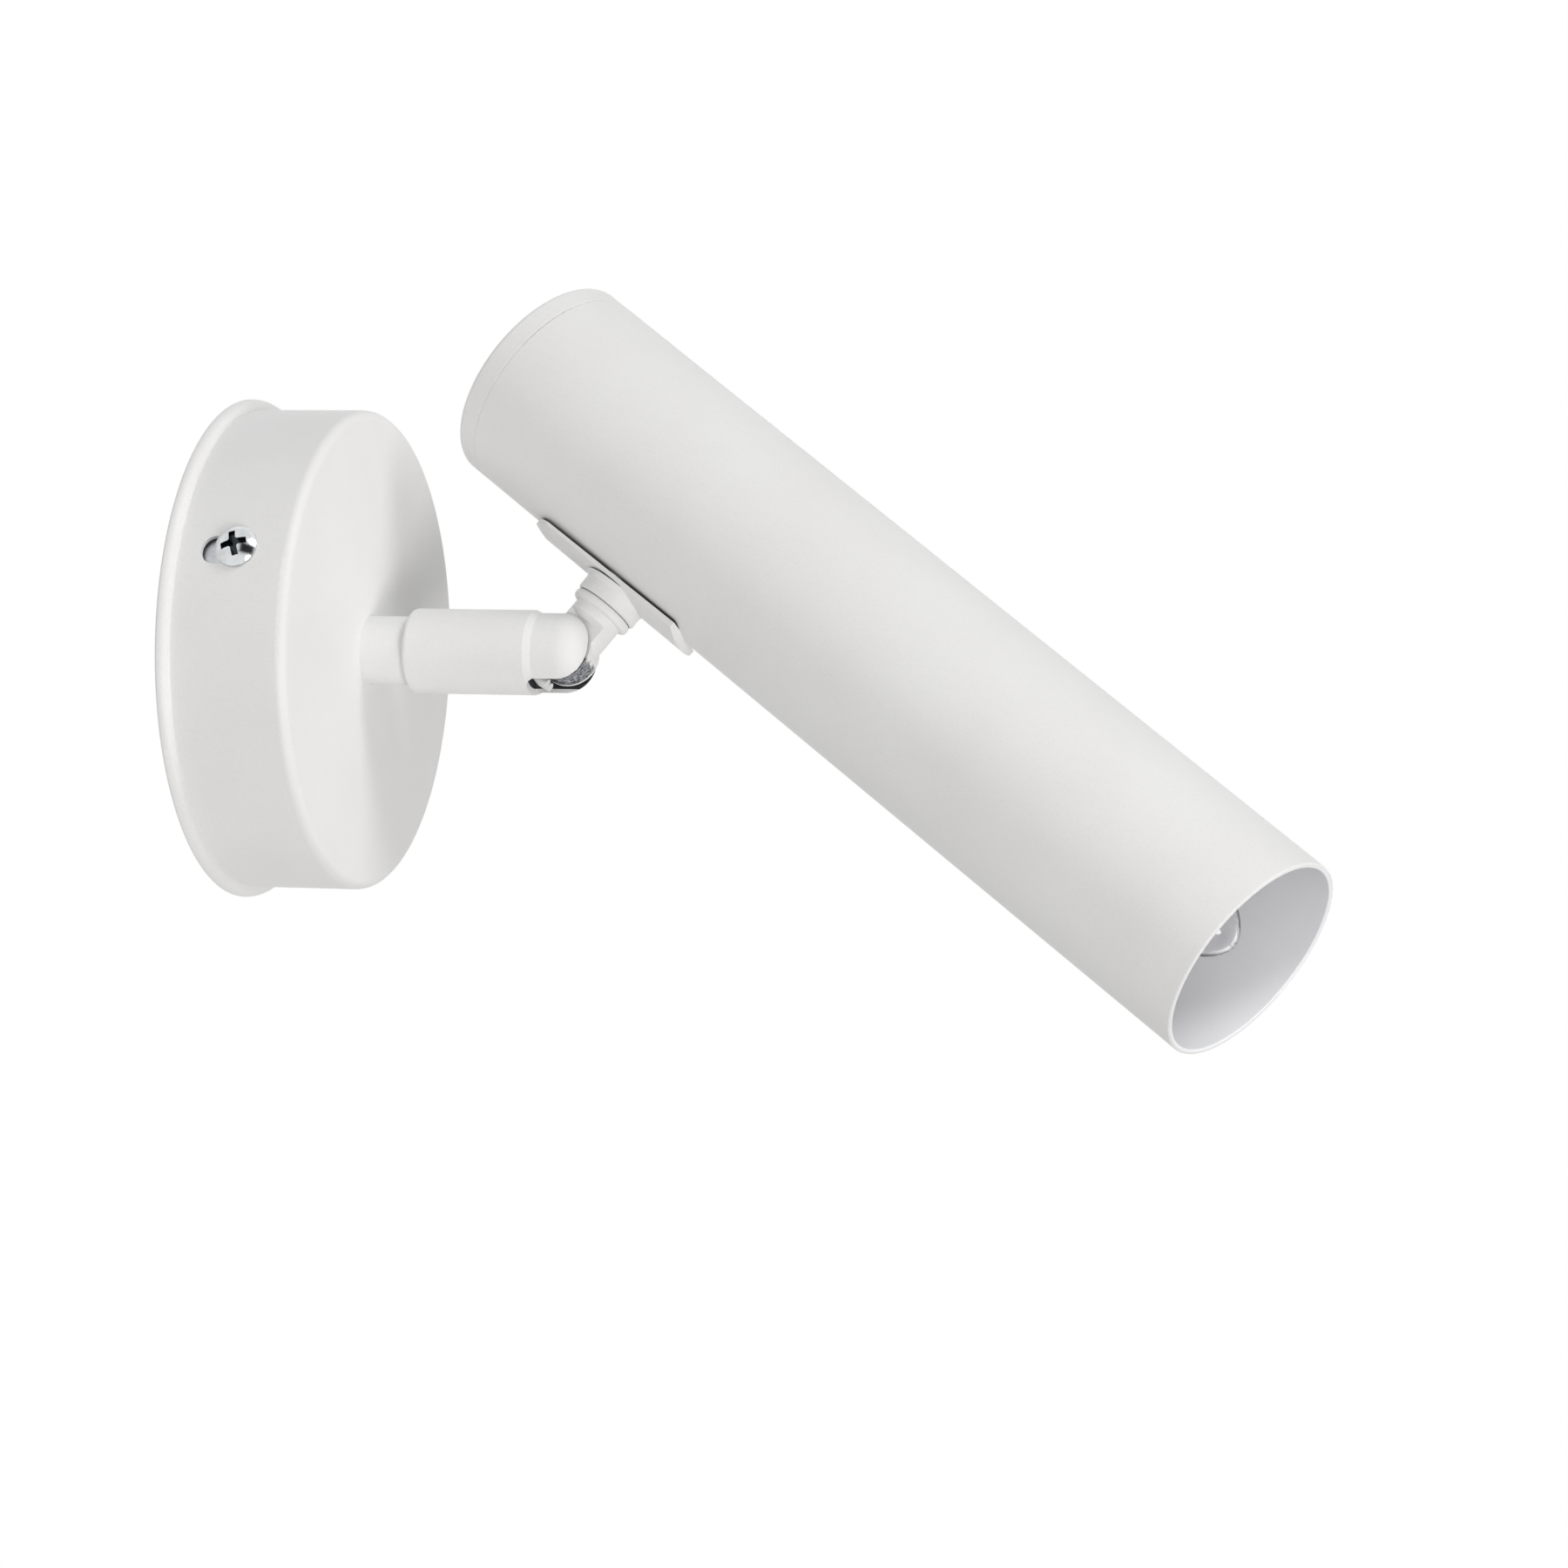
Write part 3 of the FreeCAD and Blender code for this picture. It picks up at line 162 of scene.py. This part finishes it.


# The lamp tube's inside is painted a brighter, colder white than the coat, as painted light
# standing in for the light reaching into the tube. The gap along its saddle is wide, so it counts
# as free surface later than on the other pieces, and its painted crevice shade spreads wider.
tubePlace = {"slope": 37.1, "axisAbovePivot": 0.03885, "insideRadius": 0.02145,
             "paintedInsideLight": (0.93, 0.935, 0.96, 1), "open": 0.52}


def insideTube(tree):
    x, y, z = awayFromPivot(tree)
    slope = math.radians(tubePlace["slope"])
    height = calc(tree, "ADD", calc(tree, "MULTIPLY", x, math.sin(slope)),
                  calc(tree, "MULTIPLY", z, math.cos(slope)))
    height = calc(tree, "SUBTRACT", height, tubePlace["axisAbovePivot"])
    reach = sumOfSquares(tree, y, height)
    return calc(tree, "LESS_THAN", reach, tubePlace["insideRadius"] ** 2)


# The slot between the knuckle's cheeks has bare, pitted walls, coloured near-black as painted
# shade over the bare metal, measured from the pivot
slotShadeAndBareWalls = {"halfGap": 0.00354, "startsBehindPivot": -0.00655, "paintCreepsTo": 0.0071,
             "pitsAndShade": 0.0004, "dark": (0.012, 0.012, 0.014), "light": (0.06, 0.062, 0.068)}


def slotShadeMask(tree):
    x, y, z = awayFromPivot(tree)
    inside = calc(tree, "LESS_THAN", calc(tree, "ABSOLUTE", y), slotShadeAndBareWalls["halfGap"])
    ahead = calc(tree, "GREATER_THAN", x, slotShadeAndBareWalls["startsBehindPivot"])
    deep = calc(tree, "LESS_THAN", sumOfSquares(tree, y, z), slotShadeAndBareWalls["paintCreepsTo"] ** 2)
    return calc(tree, "MULTIPLY", calc(tree, "MULTIPLY", inside, ahead), deep)


def makePowderCoat(name, coarseness=1, insideLightMask=None, bareAndShadedMask=None):
    # a mask, where given, builds a 0 to 1 socket: the tube's inside, painted brighter as painted
    # light, or the slot's bare walls, painted near-black as painted shade
    material, tree, shader = startMaterial(name)
    cloud = grain(tree, powderCoat["cloud"], detail=3)
    speck = grain(tree, powderCoat["grain"])
    wash = tintBetween(tree, cloud, powderCoat["deep"], powderCoat["light"])
    flecks = tintBetween(tree, speck, powderCoat["fleck"], white[:3], powderCoat["fleckSpan"])
    colour = mixColours(tree, 1.0, wash, flecks, "MULTIPLY")
    shadeEndsAt = powderCoat["open"]
    if insideLightMask is not None:
        # painted light: the tube's inside is coloured brighter than the coat
        colour = mixColours(tree, insideLightMask(tree), colour, tubePlace["paintedInsideLight"])
        shadeEndsAt = tubePlace["open"]
    colour = paintCreviceShade(tree, colour, shadeEndsAt)
    if bareAndShadedMask is not None:
        # painted shade: the slot's bare walls are coloured near-black
        pitsAndShade = tintBetween(tree, grain(tree, slotShadeAndBareWalls["pitsAndShade"], detail=4),
                           slotShadeAndBareWalls["dark"], slotShadeAndBareWalls["light"])
        colour = mixColours(tree, bareAndShadedMask(tree), colour, pitsAndShade)
    tree.links.new(colour, shader.inputs["Base Color"])
    shader.inputs["Specular IOR Level"].default_value = powderCoat["shine"]
    tree.links.new(levelBetween(tree, speck, *powderCoat["roughness"]),
                   shader.inputs["Roughness"])
    peel = grain(tree, powderCoat["peel"])
    roughen(tree, shader,
            [(peel, powderCoat["peelDepth"], powderCoat["peelStrength"] * coarseness),
             (speck, powderCoat["grainDepth"], powderCoat["grainStrength"] * coarseness)])
    return material


# The eye at the stem's end is dark plated metal up to a ragged edge, and the stem is painted.
# barePast, turnFade and ragged are radians round the eye.
eyeRim = {
    "paintStops": 0.0064, "fade": 0.0005, "barePast": 1.15, "turnFade": 0.04,
    "ragged": 0.35, "raggedSize": 0.0009, "paintedEdge": 0.0024,
    "patch": 0.0006, "patchDepth": 0.00012, "patchStrength": 0.4, "patchSpan": (0.38, 0.66),
    "dark": (0.05, 0.052, 0.058), "light": (0.42, 0.43, 0.46),
    "bareMetallic": 0.8, "bareRoughness": 0.34, "paintRoughness": 0.5,
    "grainDepth": 0.00004, "grainStrength": 0.3,
}


def eyePaintMask(tree):
    x, y, z = awayFromPivot(tree)
    reach = calc(tree, "SQRT", sumOfSquares(tree, x, z))
    above = levelBetween(tree, reach, *fullRange, (eyeRim["paintStops"] - eyeRim["fade"],
                                                   eyeRim["paintStops"] + eyeRim["fade"]))
    # the point's angle round the eye, from straight below towards +X
    angle = calc(tree, "ARCTAN2", x, calc(tree, "MULTIPLY", z, -1.0))
    ragged = levelBetween(tree, grain(tree, eyeRim["raggedSize"], detail=4),
                          -eyeRim["ragged"], eyeRim["ragged"], fullRange)
    angle = calc(tree, "ADD", angle, ragged)
    beyond = levelBetween(tree, angle, *fullRange, (eyeRim["barePast"] - eyeRim["turnFade"],
                                                    eyeRim["barePast"] + eyeRim["turnFade"]))
    edge = calc(tree, "GREATER_THAN", y, eyeRim["paintedEdge"])
    return calc(tree, "MAXIMUM", calc(tree, "MAXIMUM", above, beyond), edge)


def makeEyeStem(name):
    material, tree, shader = startMaterial(name)
    painted = eyePaintMask(tree)
    speck = grain(tree, powderCoat["grain"])
    patches = grain(tree, eyeRim["patch"], detail=5)
    bare = tintBetween(tree, patches, eyeRim["dark"], eyeRim["light"], eyeRim["patchSpan"])
    coat = tintBetween(tree, speck, powderCoat["deep"], powderCoat["light"])
    tree.links.new(mixColours(tree, painted, bare, coat), shader.inputs["Base Color"])
    tree.links.new(levelBetween(tree, painted, eyeRim["bareMetallic"], 0.0, fullRange),
                   shader.inputs["Metallic"])
    tree.links.new(levelBetween(tree, painted, eyeRim["bareRoughness"],
                                eyeRim["paintRoughness"], fullRange),
                   shader.inputs["Roughness"])
    roughen(tree, shader, [(patches, eyeRim["patchDepth"], eyeRim["patchStrength"]),
                           (speck, eyeRim["grainDepth"], eyeRim["grainStrength"])])
    return material


# Bare metals: plated steel, bright screws, brass and nickel, all with patches and fine scratches
metalSurface = {"patchDepth": 0.00004, "patchStrength": 0.15,
                "scratchDepth": 0.00002, "scratchStrength": 0.35, "stretch": (1, 1, 6)}
zincTone = {"light": (0.60, 0.61, 0.635), "dark": (0.48, 0.49, 0.52),
            "patch": 0.0016, "scratch": 0.0004}
screwTone = {"light": (0.76, 0.78, 0.79), "dark": (0.60, 0.62, 0.63),
             "patch": 0.0018, "scratch": 0.0002}
metals = {
    "zincPlate": {**zincTone, "roughness": (0.24, 0.42)},
    "springSteel": {**zincTone, "roughness": (0.2, 0.34), "stretch": (1, 6, 1)},
    "tungsten": {**zincTone, "roughness": (0.4, 0.6)},
    "brightScrew": {**screwTone, "roughness": (0.1, 0.22)},
    "sideScrew": {**screwTone, "roughness": (0.06, 0.14)},
    "terminalBrass": {"light": (0.72, 0.55, 0.24), "dark": (0.50, 0.36, 0.14),
                      "patch": 0.002, "scratch": 0.0003, "roughness": (0.2, 0.36)},
    "capNickel": {"light": (0.70, 0.69, 0.65), "dark": (0.52, 0.51, 0.47),
                  "patch": 0.003, "scratch": 0.0003, "roughness": (0.25, 0.45)},
}


# The near and far side screws: where the domed head sits, how far its cross recess reaches, how
# far below the dome the recess counts as shaded, and the colour of the painted shade laid in the
# recess
screwHead = {"x": 0.0142, "z": 0.0006, "top": 0.0499, "dome": 0.0058, "reach": 0.0029,
             "below": 0.00012, "paintedRecessShade": (0.035, 0.042, 0.045, 1)}


def crossRecessShadeMask(tree):
    coords = tree.nodes.new("ShaderNodeTexCoord")
    x, y, z = splitPlace(tree, coords.outputs["Object"])
    reach = sumOfSquares(tree, calc(tree, "SUBTRACT", x, screwHead["x"]),
                         calc(tree, "SUBTRACT", z, screwHead["z"]))
    sag = calc(tree, "SQRT", calc(tree, "SUBTRACT", screwHead["dome"] ** 2, reach))
    surface = calc(tree, "ADD", sag, screwHead["top"] - screwHead["dome"] - screwHead["below"])
    under = calc(tree, "LESS_THAN", calc(tree, "ABSOLUTE", y), surface)
    near = calc(tree, "LESS_THAN", reach, screwHead["reach"] ** 2)
    return calc(tree, "MULTIPLY", under, near)


def makeMetal(name):
    look = {**metalSurface, **metals[name]}
    material, tree, shader = startMaterial(name)
    patches = grain(tree, look["patch"], detail=4)
    scratches = grain(tree, look["scratch"], detail=3, stretch=look["stretch"])
    colour = tintBetween(tree, patches, look["dark"], look["light"])
    if name == "sideScrew":
        # painted shade: the side screw's cross recess is coloured near-black
        colour = mixColours(tree, crossRecessShadeMask(tree), colour, screwHead["paintedRecessShade"])
    tree.links.new(colour, shader.inputs["Base Color"])
    tree.links.new(levelBetween(tree, scratches, *look["roughness"]), shader.inputs["Roughness"])
    shader.inputs["Metallic"].default_value = 1.0
    roughen(tree, shader, [(scratches, look["scratchDepth"], look["scratchStrength"]),
                           (patches, look["patchDepth"], look["patchStrength"])])
    return material


# Plastics, ceramic and wire jackets share one build, each with its own size of lumps
plainSurface = {"broader": 12, "lumpDepth": 0.00004, "lumpStrength": 0.2}
plainPieces = {
    "nylon": {"light": (0.80, 0.79, 0.74), "dark": (0.72, 0.70, 0.64),
              "lump": 0.0012, "roughness": (0.4, 0.55)},
    # painted shade: the pivot washers are coloured near-black to stand in for the shade in the gap
    # between the knuckle's cheeks
    "gapShadeWasher": {"light": (0.05, 0.05, 0.055), "dark": (0.02, 0.02, 0.022),
                  "lump": 0.0012, "roughness": (0.4, 0.55)},
    "terminalPlastic": {"light": (0.84, 0.84, 0.81), "dark": (0.76, 0.76, 0.72),
                        "lump": 0.0009, "roughness": (0.35, 0.5)},
    "whiteCeramic": {"light": (0.86, 0.85, 0.81), "dark": (0.78, 0.76, 0.70),
                     "lump": 0.0014, "roughness": (0.55, 0.75)},
    "blackInsulator": {"light": (0.03, 0.03, 0.035), "dark": (0.012, 0.012, 0.015),
                       "lump": 0.001, "roughness": (0.1, 0.2)},
    "wireJacket": {"light": (0.84, 0.84, 0.83), "dark": (0.74, 0.74, 0.73),
                   "lump": 0.0007, "roughness": (0.35, 0.5)},
}


def makePlain(name):
    look = plainPieces[name]
    material, tree, shader = startMaterial(name)
    lumps = grain(tree, look["lump"], detail=3)
    broad = grain(tree, look["lump"] * plainSurface["broader"])
    tree.links.new(tintBetween(tree, broad, look["dark"], look["light"]),
                   shader.inputs["Base Color"])
    tree.links.new(levelBetween(tree, lumps, *look["roughness"]), shader.inputs["Roughness"])
    roughen(tree, shader, [(lumps, plainSurface["lumpDepth"], plainSurface["lumpStrength"])])
    return material


# Clear lamp glass with faint waves and a thin, patchy dust
lampGlass = {"bend": 1.4, "tint": (0.93, 0.935, 0.95), "roughness": (0.0, 0.05),
             "wave": 0.006, "waveDepth": 0.0001, "waveStrength": 0.08,
             "dust": 0.0008, "dustSpan": (0.45, 0.75)}


def makeGlass(name):
    material, tree, shader = startMaterial(name)
    waves = grain(tree, lampGlass["wave"], detail=1)
    dust = grain(tree, lampGlass["dust"], detail=4)
    tree.links.new(tintBetween(tree, waves, lampGlass["tint"], white[:3]),
                   shader.inputs["Base Color"])
    tree.links.new(levelBetween(tree, dust, *lampGlass["roughness"], lampGlass["dustSpan"]),
                   shader.inputs["Roughness"])
    shader.inputs["Transmission Weight"].default_value = 1.0
    shader.inputs["IOR"].default_value = lampGlass["bend"]
    roughen(tree, shader, [(waves, lampGlass["waveDepth"], lampGlass["waveStrength"])])
    return material


finishes = {
    "powderCoat": makePowderCoat("powderCoat"),
    "powderCoatRough": makePowderCoat("powderCoatRough", coarseness=saddleCoarseness),
    "tubeCoat": makePowderCoat("tubeCoat", insideLightMask=insideTube),
    "knuckleCoat": makePowderCoat("knuckleCoat", bareAndShadedMask=slotShadeMask),
    "eyeStem": makeEyeStem("eyeStem"),
    "lampGlass": makeGlass("lampGlass"),
}
for metalName in metals:
    finishes[metalName] = makeMetal(metalName)
for plainName in plainPieces:
    finishes[plainName] = makePlain(plainName)

finishOf = {
    "powderCoat": ["canopy", "neck_collar", "rear_cap"],
    "tubeCoat": ["lamp_tube"],
    "knuckleCoat": ["knuckle_sleeve"],
    "powderCoatRough": ["saddle"],
    "eyeStem": ["eye_stem"],
    "zincPlate": ["mounting_strap", "star_washer", "canopy_nut", "earth_washer", "shaped_washer",
                  "stem_nut", "holder_bracket", "holder_nipple", "holder_nut", "retaining_bush",
                  "swivel_spindle"],
    "sideScrew": ["side_screws"],
    "brightScrew": ["terminal_screws", "terminal_fixing_screw", "earth_screw", "pivot_screw",
                    "holder_screws"],
    "springSteel": ["stop_pin", "swivel_spring"],
    "terminalBrass": ["terminal_inserts", "holder_contact", "bulb_contact", "holder_thread"],
    "capNickel": ["bulb_cap"],
    "tungsten": ["filament"],
    "lampGlass": ["bulb_glass", "bulb_mount"],
    "nylon": ["head_washer", "swivel_washer"],
    "gapShadeWasher": ["pivot_washers"],
    "terminalPlastic": ["terminal_block"],
    "whiteCeramic": ["holder_body"],
    "blackInsulator": ["bulb_insulator"],
    "wireJacket": ["canopy_wires", "sleeve_wires", "head_wires"],
}
for finishName, nodeNames in finishOf.items():
    for nodeName in nodeNames:
        mesh = nodes[nodeName].data
        mesh.materials.clear()
        mesh.materials.append(finishes[finishName])
print("finishes on", sum(len(names) for names in finishOf.values()), "pieces")


# Studio: a pale floor well below the light, a white surround, two soft lamps and a dark card
studioAim = Vector((0.08, 0.0, -0.02))


def addSheet(name, width, height, drop=0.0):
    # a flat four-cornered mesh round the origin, this far below it
    corners = [(-width / 2, -height / 2), (width / 2, -height / 2),
               (width / 2, height / 2), (-width / 2, height / 2)]
    mesh = bpy.data.meshes.new(name)
    mesh.from_pydata([(x, y, -drop) for x, y in corners], [], [(0, 1, 2, 3)])
    sheet = bpy.data.objects.new(name, mesh)
    bpy.context.scene.collection.objects.link(sheet)
    return sheet


def paintSheet(sheet, name, look):
    material, tree, shader = startMaterial(name)
    tree.links.new(tintBetween(tree, grain(tree, look["patch"], detail=look["patchDetail"]),
                               look["dark"], look["light"]), shader.inputs["Base Color"])
    shader.inputs["Roughness"].default_value = look["roughness"]
    sheet.data.materials.append(material)
    return tree, shader


def plainlySeen(tree):
    # 1 for straight views and what mirrors and glass show, 0 for the light that falls on things
    rays = tree.nodes.new("ShaderNodeLightPath")
    mirrored = calc(tree, "MAXIMUM", rays.outputs["Is Glossy Ray"],
                    rays.outputs["Is Transmission Ray"])
    return calc(tree, "MAXIMUM", rays.outputs["Is Camera Ray"], mirrored)


# What is seen of the floor is lifted to near white, and keeps its shadows
studioFloor = {"drop": 1.3, "size": 60.0, "lift": 0.41, "patch": 0.3, "patchDetail": 3,
               "dark": (0.88, 0.88, 0.875), "light": (0.91, 0.91, 0.905), "roughness": 0.8}


def makeFloor():
    floor = addSheet("studioFloor", studioFloor["size"], studioFloor["size"], studioFloor["drop"])
    tree, shader = paintSheet(floor, "paleFloor", studioFloor)
    shader.inputs["Emission Color"].default_value = white
    tree.links.new(calc(tree, "MULTIPLY", plainlySeen(tree), studioFloor["lift"]),
                   shader.inputs["Emission Strength"])


# Straight views, mirrors and glass see plain white, and everything else a dimmer soft light,
# which is weaker out in front of the wall than behind it
surround = {"shown": 1.0, "behind": 0.70, "ahead": 0.36}


def makeSurround():
    world = bpy.data.worlds.new("whiteSurround")
    bpy.context.scene.world = world
    world.use_nodes = True
    tree = world.node_tree
    tree.nodes.clear()
    output = tree.nodes.new("ShaderNodeOutputWorld")
    shown = tree.nodes.new("ShaderNodeBackground")
    shown.inputs["Color"].default_value = white
    shown.inputs["Strength"].default_value = surround["shown"]
    lighting = tree.nodes.new("ShaderNodeBackground")
    lighting.inputs["Color"].default_value = white
    coords = tree.nodes.new("ShaderNodeTexCoord")
    outward = splitPlace(tree, coords.outputs["Generated"])[0]
    tree.links.new(levelBetween(tree, outward, surround["behind"], surround["ahead"], (-1, 1)),
                   lighting.inputs["Strength"])
    mix = tree.nodes.new("ShaderNodeMixShader")
    tree.links.new(plainlySeen(tree), mix.inputs["Fac"])
    tree.links.new(lighting.outputs["Background"], mix.inputs[1])
    tree.links.new(shown.outputs["Background"], mix.inputs[2])
    tree.links.new(mix.outputs["Shader"], output.inputs["Surface"])


def turnTowards(thing, direction):
    thing.rotation_mode = "QUATERNION"
    thing.rotation_quaternion = direction.to_track_quat("-Z", "Y")


# Two soft round lamps out in front of the wall on the photo's side, one high and one low
lamps = {
    "upperBox": {"place": (1.13, -0.78, 0.86), "size": 0.55, "watts": 8.3,
                 "colour": (1.0, 1.0, 1.0)},
    "lowerBox": {"place": (1.10, -0.80, -0.86), "size": 0.6, "watts": 8.5,
                 "colour": (1.0, 0.975, 0.955)},
}


def makeLamps():
    for name, lamp in lamps.items():
        light = bpy.data.lights.new(name, "AREA")
        light.shape = "DISK"
        light.size = lamp["size"]
        light.energy = lamp["watts"]
        light.color = lamp["colour"]
        holder = bpy.data.objects.new(name, light)
        holder.location = lamp["place"]
        turnTowards(holder, studioAim - Vector(lamp["place"]))
        bpy.context.scene.collection.objects.link(holder)


# A dark panel between the two lamps that only mirrors see, as in the screw's head
mirrorCard = {"place": (0.72, -1.02, 0.04), "size": (1.15, 0.78), "patch": 0.2, "patchDetail": 2,
              "dark": (0.015, 0.015, 0.016), "light": (0.03, 0.03, 0.032), "roughness": 0.9}


def makeMirrorCard():
    card = addSheet("mirrorCard", *mirrorCard["size"])
    card.location = mirrorCard["place"]
    turnTowards(card, Vector(mirrorCard["place"]) - studioAim)
    card.visible_camera = False
    card.visible_diffuse = False
    card.visible_shadow = False
    card.visible_transmission = False
    paintSheet(card, "darkCard", mirrorCard)


makeFloor()
makeSurround()
makeLamps()
makeMirrorCard()
print("studio ready")


# The camera of the photograph, looking up at the light from below its near side
photoCamera = {"place": (0.466855, -1.075582, -0.466881),
               "azimuth": 18.113, "elevation": -21.252, "roll": 8.005,
               "lens": 144.64, "sensor": 36.0, "nearest": 0.05, "farthest": 50}


def makeCamera():
    turn = math.radians(photoCamera["azimuth"])
    rise = math.radians(photoCamera["elevation"])
    roll = math.radians(photoCamera["roll"])
    back = Vector((math.sin(turn) * math.cos(rise), -math.cos(turn) * math.cos(rise),
                   math.sin(rise)))
    level = Vector((math.cos(turn), math.sin(turn), 0))
    upright = back.cross(level)
    right = level * math.cos(roll) + upright * math.sin(roll)
    up = upright * math.cos(roll) - level * math.sin(roll)
    data = bpy.data.cameras.new("photoCamera")
    data.sensor_width = photoCamera["sensor"]
    data.lens = photoCamera["lens"]
    data.clip_start = photoCamera["nearest"]
    data.clip_end = photoCamera["farthest"]
    camera = bpy.data.objects.new("photoCamera", data)
    camera.matrix_world = (Matrix.Translation(photoCamera["place"])
                           @ Matrix((right, up, back)).transposed().to_4x4())
    bpy.context.scene.collection.objects.link(camera)
    bpy.context.scene.camera = camera


makeCamera()
bpy.context.scene.view_settings.view_transform = "Standard"
print("camera set")
